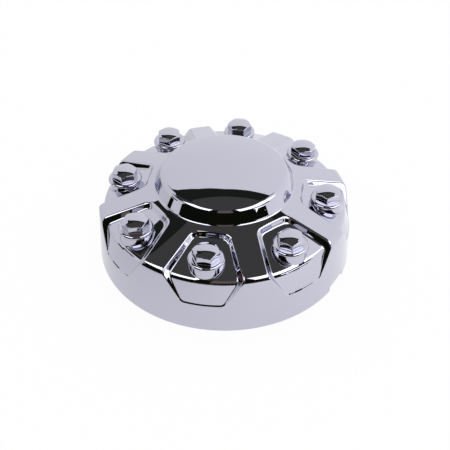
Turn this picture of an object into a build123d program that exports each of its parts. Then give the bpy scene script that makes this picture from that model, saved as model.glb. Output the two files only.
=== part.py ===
from build123d import *
import os
from math import cos, radians, sin, sqrt, tan

# Wheel centre cap for an eight-lug truck wheel, moulded in one piece and chrome plated.
# It is a hollow shell: a drafted side wall, a conical face and a raised centre dome.
# Eight recessed pads wrap over the shoulder, and each carries a dummy hexagon nut.
# Behind every nut a slotted socket pushes over the real wheel nut and holds the cap.
# Frame: the rim stands on the XY plane, the wheel axis is Z, and one nut faces -Y.

# Lug circle
lug_circle = 165.1
lug_count = 8
first_lug_angle = -90.0

# Shell, lengths in millimetres and angles in degrees
wall = 2.8
rim_radius = 104.4
wall_draft = 4.0
shoulder_height = 47.2
shoulder_fillet = 7.0
face_slope = 15.9
dome_radius = 55.6
dome_draft = 27.0
dome_rise = 10.8
dome_foot_fillet = 3.0
dome_edge_fillet = 6.0
crown_radius = 180.0

# Pad recesses, the width measured where the pad's edges cross the lug circle on the skin
pad_dome_gap = 5.4
pad_lug_width = 49.8
pad_inner_depth = 3.3
pad_flare = 24.6
pad_floor_slope = 18.6
pad_corner_fillet = 9.0
pad_rim_fillet = 1.8
pad_floor_fillet = 1.4
pad_side_taper = 41.0
pad_foot_height = 24.0
pad_foot_depth = 0.6
pad_foot_fillet = 5.0
pad_wall_draft = 14.8
pad_foot_taper = 17.0
pad_shoulder_fillet = 6.0

# Dummy nuts, heights above the rim's plane
boss_radius = 12.6
flange_radius = 13.6
flange_top = 54.2
flange_thickness = 2.0
flange_chamfer = 0.6
hex_flats = 18.2
nut_height = 62.4
nut_crown_radius = 22.0

# Sockets behind the nuts: the grip is sized for the corners of the wheel nuts
grip_bore = 25.6
grip_length = 20.0
grip_relief = 0.5
socket_wall = 2.4
socket_mouth = 12.0
slot_count = 4
slot_width = 2.4

# Pry notch in the rim
notch_angle = -22.5
notch_width = 22.0
notch_height = 4.5
notch_fillet = 2.0

# Values worked out from the driving dimensions
lug_radius = lug_circle / 2
pad_inner_radius = dome_radius + pad_dome_gap
draft_rate = tan(radians(wall_draft))
face_rate = tan(radians(face_slope))
dome_rate = tan(radians(dome_draft))
floor_rate = tan(radians(pad_floor_slope))
pad_wall_rate = tan(radians(pad_wall_draft))
shoulder_radius = rim_radius - shoulder_height * draft_rate
face_apex = shoulder_height + shoulder_radius * face_rate
dome_foot = face_apex - dome_radius * face_rate
dome_edge_radius = dome_radius - dome_rise * dome_rate
dome_edge = dome_foot + dome_rise
crown_top = dome_edge + crown_radius - sqrt(crown_radius**2 - dome_edge_radius**2)
floor_apex = face_apex - pad_inner_radius * face_rate - pad_inner_depth + pad_inner_radius * floor_rate
pad_foot_radius = rim_radius - pad_foot_height * draft_rate - pad_foot_depth
pad_wall_base = pad_foot_radius + pad_foot_height * pad_wall_rate
floor_corner_radius = (pad_wall_base - pad_wall_rate * floor_apex) / (1 - pad_wall_rate * floor_rate)
floor_corner = floor_apex - floor_corner_radius * floor_rate
boss_base = floor_corner - wall
apron = 4 * wall
rim_tolerance = 0.01

# Directions on the +X side of the cap, and points of the skin along the middle of a pad
across = Vector(0, 1, 0)
face_out = Vector(cos(radians(face_slope)), 0, -sin(radians(face_slope)))
face_normal = Vector(sin(radians(face_slope)), 0, cos(radians(face_slope)))
wall_up = Vector(-sin(radians(wall_draft)), 0, cos(radians(wall_draft)))
wall_normal = Vector(cos(radians(wall_draft)), 0, sin(radians(wall_draft)))
inner_middle = Vector(pad_inner_radius, 0, face_apex - pad_inner_radius * face_rate)
lug_middle = Vector(lug_radius, 0, face_apex - lug_radius * face_rate)
foot_middle = Vector(rim_radius - pad_foot_height * draft_rate, 0, pad_foot_height)

# Plane of the revolved sections, turned to fall between two pads
land_angle = radians(first_lug_angle + 180 / lug_count)
section_plane = Plane(
    origin=(0, 0, 0),
    x_dir=(cos(land_angle), sin(land_angle), 0),
    z_dir=(sin(land_angle), -cos(land_angle), 0),
)


def skin_body(skin):
    """Solid of revolution of the shell without pads, set in from the outer skin by skin."""
    edge = (dome_edge_radius, dome_edge)
    foot = (dome_radius, dome_foot)
    shoulder = (shoulder_radius, shoulder_height)
    with BuildPart() as body:
        with BuildSketch(section_plane) as section:
            with BuildLine():
                Polyline((0, -apron), (rim_radius + apron * draft_rate, -apron), shoulder, foot, edge)
                RadiusArc(edge, (0, crown_top), -crown_radius)
                Line((0, crown_top), (0, -apron))
            make_face()
            fillet(section.vertices().sort_by_distance(shoulder)[0], shoulder_fillet)
            fillet(section.vertices().sort_by_distance(foot)[0], dome_foot_fillet)
            fillet(section.vertices().sort_by_distance(edge)[0], dome_edge_fillet)
            if skin:
                mirror(about=Plane.YZ)
                offset(amount=-skin, mode=Mode.REPLACE)
                split(bisect_by=Plane.YZ)
        revolve(axis=Axis.Z)
    return body.part


def floor_body(skin):
    """Solid of revolution that bounds the pad floors, set in from them by skin."""
    corner = (floor_corner_radius, floor_corner)
    with BuildPart() as body:
        with BuildSketch(section_plane) as section:
            with BuildLine():
                Polyline(
                    (0, -apron),
                    (pad_wall_base + apron * pad_wall_rate, -apron),
                    corner,
                    (0, floor_apex),
                    close=True,
                )
            make_face()
            fillet(section.vertices().sort_by_distance(corner)[0], pad_shoulder_fillet)
            if skin:
                mirror(about=Plane.YZ)
                offset(amount=-skin, mode=Mode.REPLACE)
                split(bisect_by=Plane.YZ)
        revolve(axis=Axis.Z)
    return body.part


def drafted_side(point, away, normal, taper):
    """Plane of a pad side through point, leaning back by taper; its normal faces the pad."""
    lean = radians(taper)
    return Plane(origin=point, z_dir=Vector(normal) * sin(lean) - Vector(away) * cos(lean))


def pad_sides():
    """Side planes of the pad on the +X side: its inner end, its foot and its two flanks."""
    flare = radians(pad_flare)
    inner_end = drafted_side(inner_middle, -face_out, face_normal, pad_side_taper)
    foot = drafted_side(foot_middle, -wall_up, wall_normal, pad_foot_taper)
    flanks = []
    for hand in (1, -1):
        edge = lug_middle + across * (hand * pad_lug_width / 2)
        away = across * (hand * cos(flare)) - face_out * sin(flare)
        flanks.append(drafted_side(edge, away, face_normal, pad_side_taper))
    return inner_end, foot, *flanks


def meeting_edge(edges, first, second):
    """The edge that lies in both planes."""
    def miss(edge):
        middle = edge.center()
        return abs(first.to_local_coords(middle).Z) + abs(second.to_local_coords(middle).Z)

    return edges.sort_by(miss)[0]


def pad_tool(skin):
    """Cutter for the pad on the +X side, for a surface set in from the outer skin by skin."""
    inner_end, foot, *flanks = [side.offset(-skin) for side in pad_sides()]
    keel_start = inner_middle - face_normal * (pad_inner_depth + 2 * wall)
    keel_end = foot_middle - wall_normal * (pad_foot_depth + 2 * wall)
    keel = Plane(origin=keel_start, z_dir=(keel_end - keel_start).cross(across))
    with BuildPart() as tool:
        with Locations((dome_radius, 0, 0)):
            Box(
                rim_radius - dome_radius,
                2 * rim_radius,
                crown_top,
                align=(Align.MIN, Align.CENTER, Align.MIN),
            )
        for side in (keel, inner_end, foot, *flanks):
            split(bisect_by=side, keep=Keep.TOP)
        inner_corners = [meeting_edge(tool.edges(), inner_end, flank) for flank in flanks]
        fillet(inner_corners, pad_corner_fillet + skin)
        foot_corners = [meeting_edge(tool.edges(), foot, flank) for flank in flanks]
        fillet(foot_corners, pad_foot_fillet + skin)
        add(floor_body(skin), mode=Mode.SUBTRACT)
        if not skin:
            floor_edges = tool.edges(Select.LAST).filter_by(GeomType.CIRCLE, reverse=True)
            fillet(floor_edges, pad_floor_fillet)
    return tool.part


def nut_form():
    """Outer form of a dummy nut on the Z axis, with two of its flats facing along X."""
    with BuildPart() as hexagon:
        with BuildSketch(Plane.XY.offset(flange_top - flange_thickness)):
            RegularPolygon(hex_flats / 2, 6, major_radius=False, rotation=30)
        extrude(amount=nut_height)
        with Locations((0, 0, nut_height - nut_crown_radius)):
            Sphere(nut_crown_radius, mode=Mode.INTERSECT)
    with BuildPart() as nut:
        with Locations((0, 0, boss_base)):
            Cylinder(boss_radius, flange_top - boss_base, align=(Align.CENTER, Align.CENTER, Align.MIN))
        with Locations((0, 0, flange_top)):
            Cylinder(flange_radius, flange_thickness, align=(Align.CENTER, Align.CENTER, Align.MAX))
        flange_edges = nut.edges().filter_by(GeomType.CIRCLE).sort_by(SortBy.RADIUS)[-2:]
        chamfer(flange_edges, flange_chamfer)
        add(hexagon.part)
    return nut.part


def nut_core():
    """Hollow behind a dummy nut, which keeps the nut's walls as thick as the shell."""
    with BuildPart() as core:
        with Locations((0, 0, boss_base)):
            Cylinder(
                boss_radius - wall,
                flange_top - wall - boss_base,
                align=(Align.CENTER, Align.CENTER, Align.MIN),
            )
            Cylinder(
                hex_flats / 2 - wall,
                nut_height - wall - boss_base,
                align=(Align.CENTER, Align.CENTER, Align.MIN),
            )
    return core.part


def socket_tube():
    """Slotted push-on socket behind the nut on the +X side, ending inside the pad's floor."""
    grip_radius = grip_bore / 2
    tube_radius = grip_radius + socket_wall
    upright = (Align.CENTER, Align.CENTER, Align.MIN)
    with BuildPart() as socket:
        with Locations((lug_radius, 0, socket_mouth)):
            Cylinder(tube_radius, flange_top - socket_mouth, align=upright)
            Cylinder(grip_radius, grip_length, align=upright, mode=Mode.SUBTRACT)
        with Locations((lug_radius, 0, socket_mouth + grip_length)):
            Cylinder(grip_radius + grip_relief, flange_top, align=upright, mode=Mode.SUBTRACT)
        with BuildSketch(Plane.XY.offset(socket_mouth)):
            with Locations((lug_radius, 0)):
                with PolarLocations(0, slot_count // 2, start_angle=45, angular_range=180):
                    Rectangle(3 * tube_radius, slot_width)
        extrude(amount=grip_length, mode=Mode.SUBTRACT)
        add(floor_body(wall / 2), mode=Mode.INTERSECT)
    return socket.part


def pad_rims(edges):
    """Edges where the pads break the outer skin, which are neither circles nor straight."""
    skin = skin_body(0).shell()
    curved = edges.filter_by(GeomType.CIRCLE, reverse=True).filter_by(GeomType.LINE, reverse=True)
    return curved.filter_by(lambda edge: skin.distance_to(Vertex(edge @ 0.5)) < rim_tolerance)


def cap_form(skin, nut):
    """Whole form of the cap set in by skin: the skin body with its pads cut and its nuts added."""
    pad = pad_tool(skin)
    with BuildPart() as form:
        add(skin_body(skin))
        with PolarLocations(0, lug_count, start_angle=first_lug_angle):
            add(pad, mode=Mode.SUBTRACT)
        if not skin:
            fillet(pad_rims(form.edges()), pad_rim_fillet)
        with PolarLocations(lug_radius, lug_count, start_angle=first_lug_angle):
            add(nut)
    return form.part


outer_form = cap_form(0, nut_form())
inner_form = cap_form(wall, nut_core())
socket = socket_tube()
notch_plane = Plane(
    origin=(0, 0, 0),
    z_dir=(cos(radians(notch_angle)), sin(radians(notch_angle)), 0),
    x_dir=(-sin(radians(notch_angle)), cos(radians(notch_angle)), 0),
)

with BuildPart() as center_cap:
    add(outer_form)
    add(inner_form, mode=Mode.SUBTRACT)
    with PolarLocations(0, lug_count, start_angle=first_lug_angle):
        add(socket)
    split(bisect_by=Plane.XY, keep=Keep.TOP)
    with BuildSketch(notch_plane):
        RectangleRounded(notch_width, 2 * notch_height, notch_fillet)
    extrude(amount=2 * rim_radius, mode=Mode.SUBTRACT)

center_cap.part.label = "center_cap"
os.makedirs("parts", exist_ok=True)
export_step(center_cap.part, "parts/center_cap.step")
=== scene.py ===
"""Chrome-plated wheel centre cap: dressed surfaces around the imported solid.

Sizes of the cap are in millimetres and degrees, those of the studio in metres.
"""

import logging
import math
from dataclasses import dataclass
from enum import Enum
from typing import Any, Callable, Dict, List, Sequence, Tuple, Union

import bpy
import numpy as np
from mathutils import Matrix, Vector


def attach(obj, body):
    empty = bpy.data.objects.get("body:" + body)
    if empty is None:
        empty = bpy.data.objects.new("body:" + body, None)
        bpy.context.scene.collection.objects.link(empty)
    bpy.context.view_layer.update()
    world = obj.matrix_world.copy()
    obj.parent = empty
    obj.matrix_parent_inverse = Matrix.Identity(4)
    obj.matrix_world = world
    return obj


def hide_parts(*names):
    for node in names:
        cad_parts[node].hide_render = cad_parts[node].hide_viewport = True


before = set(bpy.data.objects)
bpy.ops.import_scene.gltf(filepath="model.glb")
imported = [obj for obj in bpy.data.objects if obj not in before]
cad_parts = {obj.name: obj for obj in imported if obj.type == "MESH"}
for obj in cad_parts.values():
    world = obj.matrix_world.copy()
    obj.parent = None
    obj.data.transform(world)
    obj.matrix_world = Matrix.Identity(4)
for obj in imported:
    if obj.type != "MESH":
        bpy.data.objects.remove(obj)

LOG = logging.getLogger("center_cap")
MM = 0.001
UP = np.array([0.0, 0.0, 1.0])
TINY = 1e-9
WHITE = (1.0, 1.0, 1.0, 1.0)

# Steps of the searches that put points on a surface
HALVINGS = 48
SETTLE_ROUNDS = 12
SETTLE_SHARE = 0.9
SINK_START = -0.6
SINK_REACH = 11.0
OVERHEAD = 70.0
DROP_REACH = 60.0

Field = Callable[[np.ndarray], np.ndarray]
Pair = Tuple[np.ndarray, np.ndarray]
Span = Tuple[float, float]
Plane = Tuple[np.ndarray, float]
Colour = Tuple[float, float, float, float]


class Side(Enum):
    """Which finish a face of the cap carries."""

    FRONT = 0
    BACK = 1


class Tone(Enum):
    """Colour and strength of the panels that only reflections see."""

    GREY = ((0.072, 0.072, 0.064), 1.0)
    DIM = ((0.032, 0.032, 0.026), 1.0)
    BLACK = ((0.006, 0.007, 0.004), 1.0)
    EDGE = ((0.018, 0.019, 0.016), 1.0)
    LAMP = ((1.0, 1.0, 1.0), 2.6)
    BROWN = ((0.15, 0.08, 0.065), 1.0)
    WARM = ((0.17, 0.137, 0.122), 1.0)
    RUST = ((0.115, 0.023, 0.009), 1.0)


def round_max(a: np.ndarray, b: np.ndarray, radius: float, cosine: float) -> np.ndarray:
    """Join two distance fields at an outer corner with a round of the given radius.

    Args:
        a: First signed distance.
        b: Second signed distance.
        radius: Radius of the round.
        cosine: Cosine of the angle between the two faces' normals.

    Returns:
        The signed distance of the rounded corner.
    """
    u = a + radius
    v = b + radius
    inside = (u - v * cosine > 0.0) & (v - u * cosine > 0.0) & (u + v > 0.0)
    square = np.maximum(u * u + v * v - 2.0 * u * v * cosine, 0.0) / (1.0 - cosine * cosine)
    return np.where(inside, np.sqrt(square), np.maximum(u, v)) - radius


def round_min(a: np.ndarray, b: np.ndarray, radius: float, cosine: float) -> np.ndarray:
    """Join two distance fields at an inner corner; the arguments are those of round_max."""
    return -round_max(-a, -b, radius, cosine)


def gradient(shape: Field, points: np.ndarray, step: float = 0.02) -> np.ndarray:
    """Unit normals of a distance field by central differences.

    Args:
        shape: The field.
        points: Points, in an array of any shape with 3 columns.
        step: Half the difference's length.

    Returns:
        Unit vectors in an array of the same shape.
    """
    out = np.zeros_like(points)
    for axis in range(3):
        shift = np.zeros(3)
        shift[axis] = step
        out[..., axis] = shape(points + shift) - shape(points - shift)
    return out / np.maximum(np.linalg.norm(out, axis=-1, keepdims=True), TINY)


def settle(shape: Field, points: np.ndarray) -> np.ndarray:
    """Move points onto a field's zero surface along its gradient.

    Args:
        shape: The field.
        points: Starting points near the surface.

    Returns:
        Points on the surface.
    """
    out = points.copy()
    for _ in range(SETTLE_ROUNDS):
        out -= SETTLE_SHARE * shape(out)[..., None] * gradient(shape, out)
    return out


def bisect(holds: Field, low: np.ndarray, high: np.ndarray) -> np.ndarray:
    """Find the largest values at which a test still holds.

    Args:
        holds: The test, true at the low values.
        low: Values to start from.
        high: Values at which the test fails.

    Returns:
        The last values that pass.
    """
    for _ in range(HALVINGS):
        middle = 0.5 * (low + high)
        held = holds(middle)
        low = np.where(held, middle, low)
        high = np.where(held, high, middle)
    return low


def sink(shape: Field, points: np.ndarray, inward: np.ndarray, reach: float = SINK_REACH) -> np.ndarray:
    """Move points along given directions until they meet a field's zero surface.

    Args:
        shape: The field, positive outside.
        points: Starting points on or outside the surface.
        inward: Unit directions, one for all or one a point.
        reach: Longest move.

    Returns:
        Points on the surface.
    """
    low = np.full(points.shape[:-1], SINK_START)
    high = np.full(points.shape[:-1], reach)
    depth = bisect(lambda t: shape(points + inward * t[..., None]) > 0.0, low, high)
    return points + inward * depth[..., None]


def drop(shape: Field, places: np.ndarray) -> np.ndarray:
    """Points of a field's surface straight above or below places at the rim's level."""
    return sink(shape, places + UP * OVERHEAD, -UP, DROP_REACH)


def level_ring(angles: np.ndarray) -> np.ndarray:
    """Level unit vectors at the given polar angles in radians."""
    return np.stack([np.cos(angles), np.sin(angles), np.zeros_like(angles)], axis=-1)


def fan(first: float, last: float, count: int) -> np.ndarray:
    """Unit vectors (radius, height) that lean away from the axis by evenly spaced angles.

    Args:
        first: First lean in radians.
        last: Last lean.
        count: Number of vectors.

    Returns:
        The vectors, one a row.
    """
    leans = np.linspace(first, last, count)
    return np.stack([np.sin(leans), np.cos(leans)], axis=1)


def revolved(profile: np.ndarray, angles: np.ndarray) -> np.ndarray:
    """Rows (radius, height) carried round the wheel axis to the given angles."""
    return profile[:, None, :1] * level_ring(angles) + profile[:, None, 1:] * UP


def shares(count: int) -> np.ndarray:
    """Evenly spaced shares of a way, without its start."""
    return np.linspace(0.0, 1.0, count + 1)[1:]


def grid_quads(rows: int, columns: int, closed: bool) -> np.ndarray:
    """Corner numbers of the quads in a grid of points.

    Args:
        rows: Rows of points.
        columns: Points in a row.
        closed: Whether the last column joins the first.

    Returns:
        Four numbers a quad, one quad a row.
    """
    here = np.arange(rows * columns).reshape(rows, columns)
    beside = np.roll(here, -1, axis=1)
    quads = np.stack([here[:-1], beside[:-1], beside[1:], here[1:]], axis=-1)
    return (quads if closed else quads[:, :-1]).reshape(-1, 4)


def add_mesh_object(name: str, verts: Sequence[Any], faces: Sequence[Any]) -> bpy.types.Object:
    """Make an object from plain lists and link it to the scene.

    Args:
        name: Name of the object and its mesh.
        verts: Corners in metres.
        faces: Corner numbers of each face.

    Returns:
        The new object.
    """
    mesh = bpy.data.meshes.new(name)
    mesh.from_pydata(verts, [], faces)
    made = bpy.data.objects.new(name, mesh)
    bpy.context.collection.objects.link(made)
    return made


@dataclass
class Sheet:
    """Grid of surface points with their normals, rows by columns by 3."""

    points: np.ndarray
    normals: np.ndarray
    side: Side = Side.FRONT
    closed: bool = True

    def turned(self, degrees: float) -> "Sheet":
        """Copy the sheet, turned about the wheel axis.

        Args:
            degrees: The turn.

        Returns:
            The turned copy.
        """
        c, s = math.cos(math.radians(degrees)), math.sin(math.radians(degrees))
        spin = np.array([[c, s, 0.0], [-s, c, 0.0], [0.0, 0.0, 1.0]])
        return Sheet(self.points @ spin, self.normals @ spin, self.side, self.closed)

    def quads(self) -> np.ndarray:
        """Faces of the sheet, which look the way its normals do.

        Returns:
            Four corner numbers a face, one face a row.
        """
        across = np.diff(self.points, axis=1)[:-1]
        down = np.diff(self.points, axis=0)[:, :-1]
        agreement = float(np.sum(np.cross(across, down) * self.normals[:-1, :-1]))
        quads = grid_quads(*self.points.shape[:2], self.closed)
        return quads if agreement > 0.0 else quads[:, ::-1]


@dataclass
class CapPiece:
    """One visible piece of the cap, gathered from sheets."""

    name: str
    sheets: List[Sheet]

    def build(self, finishes: Sequence[bpy.types.Material]) -> bpy.types.Object:
        """Make the object from the sheets.

        Args:
            finishes: Materials in the order of Side.

        Returns:
            The new object.
        """
        faces: List[List[int]] = []
        sides: List[int] = []
        count = 0
        for sheet in self.sheets:
            quads = sheet.quads() + count
            faces += quads.tolist()
            sides += [sheet.side.value] * len(quads)
            count += sheet.points.size // 3
        points = np.concatenate([sheet.points.reshape(-1, 3) for sheet in self.sheets])
        normals = np.concatenate([sheet.normals.reshape(-1, 3) for sheet in self.sheets])
        piece = add_mesh_object(self.name, (points * MM).tolist(), faces)
        mesh = piece.data
        for finish in finishes:
            mesh.materials.append(finish)
        mesh.polygons.foreach_set("material_index", sides)
        mesh.polygons.foreach_set("use_smooth", [True] * len(mesh.polygons))
        mesh.update()
        mesh.normals_split_custom_set_from_vertices(normals.tolist())
        return piece

    @staticmethod
    def dress(piece: bpy.types.Object) -> None:
        """Tie a piece to the cap's body, hide the imported node it stands in for, and report it.

        Args:
            piece: The built piece.
        """
        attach(piece, "root")
        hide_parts("center_cap")
        LOG.info("%s: %d faces", piece.name, len(piece.data.polygons))


@dataclass
class CapSection:
    """Turned section of the shell: a drafted wall and a conical face with a dome in the middle."""

    rim_radius: float = 104.4
    wall_draft: float = 4.0
    shoulder_height: float = 47.2
    shoulder_fillet: float = 7.0
    face_slope: float = 15.9
    dome_radius: float = 55.6
    dome_draft: float = 27.0
    dome_rise: float = 10.8
    dome_foot_fillet: float = 3.0
    dome_edge_fillet: float = 6.0
    crown_radius: float = 180.0
    wall: float = 2.8
    lug_radius: float = 82.55
    lug_count: int = 8
    least_fillet: float = 0.4
    straight_points: int = 200
    arc_points: int = 60
    crown_rows: int = 18
    dome_edge_rows: int = 13
    dome_wall_shares: Tuple[float, ...] = (0.33, 0.66, 1.0)
    dome_foot_rows: int = 8
    axis_gap: float = 0.01

    def __post_init__(self) -> None:
        """Work out the angles and heights that follow from the sizes."""
        self.draft = math.radians(self.wall_draft)
        self.slope = math.radians(self.face_slope)
        self.draft_rate = math.tan(self.draft)
        self.face_rate = math.tan(self.slope)
        self.shoulder_radius = self.rim_radius - self.shoulder_height * self.draft_rate
        self.face_apex = self.shoulder_height + self.shoulder_radius * self.face_rate
        self.dome_foot = self.face_height(self.dome_radius)
        self.dome_edge_radius = self.dome_radius - self.dome_rise * math.tan(math.radians(self.dome_draft))
        self.dome_edge = self.dome_foot + self.dome_rise
        drop_to_edge = self.crown_radius - math.sqrt(self.crown_radius**2 - self.dome_edge_radius**2)
        self.crown_top = self.dome_edge + drop_to_edge
        self.lug_axis = np.array([self.lug_radius, 0.0, 0.0])

    def face_height(self, radius: float) -> float:
        """Height of the conical face at a radius."""
        return self.face_apex - radius * self.face_rate

    def skin(self, points: np.ndarray, inset: float = 0.0) -> np.ndarray:
        """Signed distance to wall and face without the dome.

        Args:
            points: Points of the cap.
            inset: How far the surface is set in.

        Returns:
            Signed distances, positive outside.
        """
        radius = np.hypot(points[..., 0], points[..., 1])
        height = points[..., 2]
        side = (radius - self.rim_radius + height * self.draft_rate) * math.cos(self.draft) + inset
        face = (height - self.face_apex + radius * self.face_rate) * math.cos(self.slope) + inset
        fillet = max(self.shoulder_fillet - inset, self.least_fillet)
        return round_max(side, face, fillet, math.sin(self.slope + self.draft))

    def profile(self, inner: float, low: float, inset: float = 0.0) -> Pair:
        """Fine polyline of face, shoulder and wall.

        Args:
            inner: Radius where the face starts.
            low: Height where the wall ends.
            inset: How far the surface is set in.

        Returns:
            Points (radius, height) and outward normals.
        """
        wall_lean = math.pi / 2 - self.draft
        ring = fan(self.slope, wall_lean, self.arc_points)
        face_normal, wall_normal = ring[0], ring[-1]
        length = self.shoulder_fillet * math.tan((wall_lean - self.slope) / 2)
        corner = np.array([self.shoulder_radius, self.shoulder_height])
        first = corner - np.array([face_normal[1], -face_normal[0]]) * length
        last = corner + np.array([wall_normal[1], -wall_normal[0]]) * length
        start = np.array([inner, self.face_height(inner)])
        end = np.array([self.rim_radius - low * self.draft_rate, low])
        count = self.straight_points
        face = np.linspace(start, first, count)[:-1]
        arc = first + (ring - face_normal) * self.shoulder_fillet
        wall = np.linspace(last, end, count)[1:]
        normals = [np.tile(face_normal, (count - 1, 1)), ring, np.tile(wall_normal, (count - 1, 1))]
        stacked = np.concatenate(normals)
        return np.concatenate([face, arc, wall]) - stacked * inset, stacked

    def dome_profile(self, outer: float, inset: float = 0.0) -> Pair:
        """Rows of the dome from the axis to the face.

        Args:
            outer: Radius on the face where the dome's rows end.
            inset: How far the surface is set in.

        Returns:
            Points (radius, height) and outward normals.
        """
        wall_lean = math.pi / 2 - math.radians(self.dome_draft)
        wall_normal = np.array([math.sin(wall_lean), math.cos(wall_lean)])
        wall_along = np.array([wall_normal[1], -wall_normal[0]])
        crown_centre = np.array([0.0, self.crown_top - self.crown_radius])
        edge = np.array([self.dome_edge_radius, self.dome_edge])
        offset = float(np.dot(edge, wall_normal)) - self.dome_edge_fillet
        near = wall_normal * offset - crown_centre
        half = float(np.dot(near, wall_along))
        reach = self.crown_radius - self.dome_edge_fillet
        slide = -half - math.sqrt(half * half - float(np.dot(near, near)) + reach * reach)
        round_centre = wall_normal * offset + wall_along * slide
        crown_lean = math.atan2(*(round_centre - crown_centre))
        crown = fan(0.0, crown_lean, self.crown_rows + 1)[1:]
        bend = fan(crown_lean, wall_lean, self.dome_edge_rows + 1)[1:]
        foot_bend = fan(wall_lean, self.slope, self.dome_foot_rows + 1)[1:]
        start = round_centre + bend[-1] * self.dome_edge_fillet
        length = self.dome_foot_fillet * math.tan((wall_lean - self.slope) / 2)
        stop = np.array([self.dome_radius, self.dome_foot]) - wall_along * length
        foot_centre = stop + wall_normal * self.dome_foot_fillet
        wall = np.array([start + (stop - start) * share for share in self.dome_wall_shares])
        rows: List[Pair] = [
            (np.array([[self.axis_gap, self.crown_top]]), np.array([[0.0, 1.0]])),
            (crown_centre + crown * self.crown_radius, crown),
            (round_centre + bend * self.dome_edge_fillet, bend),
            (wall, np.tile(wall_normal, (len(wall), 1))),
            (foot_centre - foot_bend * self.dome_foot_fillet, foot_bend),
            (np.array([[outer, self.face_height(outer)]]), foot_bend[-1:]),
        ]
        points, normals = [np.concatenate(part) for part in zip(*rows)]
        return points - normals * inset, normals


@dataclass
class PadRecess:
    """Recess for one dummy nut, wrapped over the shoulder; drawn for the +X side."""

    section: CapSection
    dome_gap: float = 5.4
    lug_width: float = 49.8
    inner_depth: float = 3.3
    flare: float = 24.6
    floor_slope: float = 18.6
    corner_fillet: float = 9.0
    rim_fillet: float = 2.8
    floor_fillet: float = 2.2
    side_taper: float = 41.0
    foot_height: float = 24.0
    foot_depth: float = 0.6
    foot_fillet: float = 5.0
    wall_draft: float = 14.8
    foot_taper: float = 17.0
    shoulder_fillet: float = 6.0
    inside_share: float = 0.3

    def __post_init__(self) -> None:
        """Lay out the floor's cones and the side planes."""
        cap = self.section
        self.floor_rate = math.tan(math.radians(self.floor_slope))
        self.wall_rate = math.tan(math.radians(self.wall_draft))
        inner_radius = cap.dome_radius + self.dome_gap
        inner_height = cap.face_height(inner_radius)
        self.floor_apex = inner_height - self.inner_depth + inner_radius * self.floor_rate
        foot_radius = cap.rim_radius - self.foot_height * cap.draft_rate
        self.wall_base = foot_radius - self.foot_depth + self.foot_height * self.wall_rate
        flare = math.radians(self.flare)
        out = np.array([math.cos(cap.slope), 0.0, -math.sin(cap.slope)])
        face_normal = np.array([math.sin(cap.slope), 0.0, math.cos(cap.slope)])
        down = np.array([math.sin(cap.draft), 0.0, -math.cos(cap.draft)])
        wall_normal = np.array([math.cos(cap.draft), 0.0, math.sin(cap.draft)])
        inner = np.array([inner_radius, 0.0, inner_height])
        foot = np.array([foot_radius, 0.0, self.foot_height])
        beside_lug = np.array([cap.lug_radius, self.lug_width / 2, cap.face_height(cap.lug_radius)])
        away = np.array([0.0, math.cos(flare), 0.0]) - out * math.sin(flare)
        self.inner_plane = self.plane(inner, -out, face_normal, self.side_taper)
        self.foot_plane = self.plane(foot, down, wall_normal, self.foot_taper)
        self.flank_plane = self.plane(beside_lug, away, face_normal, self.side_taper)

    @staticmethod
    def plane(point: np.ndarray, away: np.ndarray, normal: np.ndarray, taper: float) -> Plane:
        """Drafted side plane.

        Args:
            point: Point of the plane on the skin.
            away: Direction out of the pad along the skin.
            normal: Outward normal of the skin there.
            taper: Lean of the side in degrees.

        Returns:
            The plane's outward normal and offset.
        """
        lean = math.radians(taper)
        outward = away * math.cos(lean) - normal * math.sin(lean)
        return outward, float(np.dot(outward, point))

    def sides(self, points: np.ndarray, inset: float = 0.0) -> np.ndarray:
        """Signed distance to the pad's sides, negative over the pad.

        Args:
            points: Points of the cap.
            inset: How far the sides are set out.

        Returns:
            Signed distances.
        """
        mirrored = np.stack([points[..., 0], np.abs(points[..., 1]), points[..., 2]], axis=-1)
        planes = (self.inner_plane, self.foot_plane, self.flank_plane)
        inner, foot, flank = [mirrored @ normal - offset - inset for normal, offset in planes]
        corner_cosine = float(np.dot(self.inner_plane[0], self.flank_plane[0]))
        foot_cosine = float(np.dot(self.flank_plane[0], self.foot_plane[0]))
        upper = round_max(inner, flank, self.corner_fillet, corner_cosine)
        return round_max(upper, foot, self.foot_fillet, foot_cosine)

    def floor(self, points: np.ndarray, inset: float = 0.0) -> np.ndarray:
        """Signed distance to the pad's floor.

        Args:
            points: Points of the cap.
            inset: How far the floor is set in.

        Returns:
            Signed distances, positive above the floor.
        """
        radius = np.hypot(points[..., 0], points[..., 1])
        height = points[..., 2]
        slope, draft = math.radians(self.floor_slope), math.radians(self.wall_draft)
        top = (height - self.floor_apex + radius * self.floor_rate) * math.cos(slope) + inset
        side = (radius - self.wall_base + height * self.wall_rate) * math.cos(draft) + inset
        fillet = max(self.shoulder_fillet - inset, self.section.least_fillet)
        return round_max(top, side, fillet, math.sin(slope + draft))

    def surface(self, points: np.ndarray, inset: float = 0.0) -> np.ndarray:
        """Signed distance to the skin with this pad cut into it.

        Args:
            points: Points of the cap.
            inset: How far the whole surface is set in.

        Returns:
            Signed distances, positive outside.
        """
        share = self.inside_share if inset else 1.0
        lean = math.sin(math.radians(self.side_taper))
        sides, floor = self.sides(points, inset), self.floor(points, inset)
        recess = round_min(-sides, floor, self.floor_fillet * share, lean)
        return round_max(self.section.skin(points, inset), recess, self.rim_fillet * share, lean)


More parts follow.
